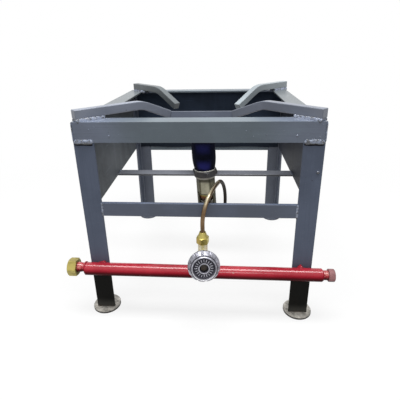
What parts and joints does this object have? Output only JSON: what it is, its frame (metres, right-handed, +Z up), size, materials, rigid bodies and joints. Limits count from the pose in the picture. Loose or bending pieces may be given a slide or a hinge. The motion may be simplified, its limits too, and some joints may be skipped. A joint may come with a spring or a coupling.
{
  "type": "gas wok burner stove",
  "caption": "Square angle-iron stand with a single upright wok burner, sloping pan support arms, sheet skirts and a front gas pipe with a needle valve.",
  "frame": {"origin": "on the floor under the middle of the whole model's box", "axes": "+X to the right as seen from the front, along the gas pipe; +Y to the back; +Z up; the handwheel faces -Y"},
  "size_m": [0.4496, 0.4598, 0.3668],
  "materials": {
    "frame_paint": "grey-blue gloss enamel, brushed on, a little dusty",
    "skirt_paint": "dull grey enamel on sheet",
    "foot_steel": "bare mild steel, worn",
    "pipe_paint": "red gloss enamel",
    "flame_tube_steel": "dark blue painted steel tube",
    "collar_steel": "dull steel, heat-stained",
    "burner_head_iron": "as cast",
    "burner_body_metal": "dull cast brass, turned",
    "burner_neck_metal": "brown, heat-stained brass",
    "brass": "bright turned brass",
    "copper": "drawn copper tube, browned",
    "handwheel_aluminium": "die-cast, tumbled",
    "spindle_steel": "turned steel",
    "packing": "pressed white packing",
    "cap_steel": "bare steel with a film of red paint"
  },
  "bodies": {
    "stove": {"front_top_rail": "frame_paint", "front_left_leg": "frame_paint", "front_left_foot": "foot_steel", "right_top_rail": "frame_paint", "front_right_leg": "frame_paint", "front_right_foot": "foot_steel", "rear_top_rail": "frame_paint", "rear_right_leg": "frame_paint", "rear_right_foot": "foot_steel", "left_top_rail": "frame_paint", "rear_left_leg": "frame_paint", "rear_left_foot": "foot_steel", "left_skirt": "skirt_paint", "right_skirt": "skirt_paint", "rear_skirt": "skirt_paint", "front_crossbar": "frame_paint", "rear_crossbar": "frame_paint", "left_burner_bar": "frame_paint", "right_burner_bar": "frame_paint", "front_left_arm_seat": "frame_paint", "front_left_pan_arm": "frame_paint", "front_right_arm_seat": "frame_paint", "front_right_pan_arm": "frame_paint", "rear_right_arm_seat": "frame_paint", "rear_right_pan_arm": "frame_paint", "rear_left_arm_seat": "frame_paint", "rear_left_pan_arm": "frame_paint", "pan_arm_tie_strip": "frame_paint", "burner_collar": "collar_steel", "burner_flame_tube": "flame_tube_steel", "burner_head": "burner_head_iron", "burner_collar_washer": "collar_steel", "burner_body": "burner_body_metal", "burner_air_neck": "burner_neck_metal", "burner_base_ring": "burner_body_metal", "gas_jet": "brass", "burner_inlet_elbow": "brass", "burner_flare_nut": "brass", "gas_pipe": "pipe_paint", "left_pipe_weld": "pipe_paint", "right_pipe_weld": "pipe_paint", "inlet_nipple": "pipe_paint", "outlet_nipple": "pipe_paint", "end_cap": "cap_steel", "valve_socket": "pipe_paint", "valve_body": "brass", "valve_packing": "packing", "valve_gland_nut": "brass", "valve_flare_nut": "brass", "copper_tube": "copper"},
    "spindle": {"valve_spindle": "spindle_steel"},
    "handwheel": {"handwheel": "handwheel_aluminium", "handwheel_nut": "spindle_steel"},
    "union_nut": {"union_nut": "brass"}
  },
  "joints": [
    {"name": "spindle_slide", "type": "slide", "parent": "stove", "child": "spindle", "axis": [0.0907, -0.9774, 0.1908], "range_m": [0, 0.00375]},
    {"name": "handwheel_turn", "type": "hinge", "parent": "spindle", "child": "handwheel", "pos_m": [0.0072, -0.17658, 0.125], "axis": [0.0907, -0.9774, 0.1908], "range_deg": [0, 1080]},
    {"name": "union_nut_spin", "type": "hinge", "parent": "stove", "child": "union_nut", "pos_m": [-0.22478, -0.17658, 0.09748], "axis": [-1, 0, 0.0052], "continuous": true}
  ],
  "couplings": [
    {"joint": "spindle_slide", "follows": "handwheel_turn", "m_per_rad": 0.00019894}
  ]
}
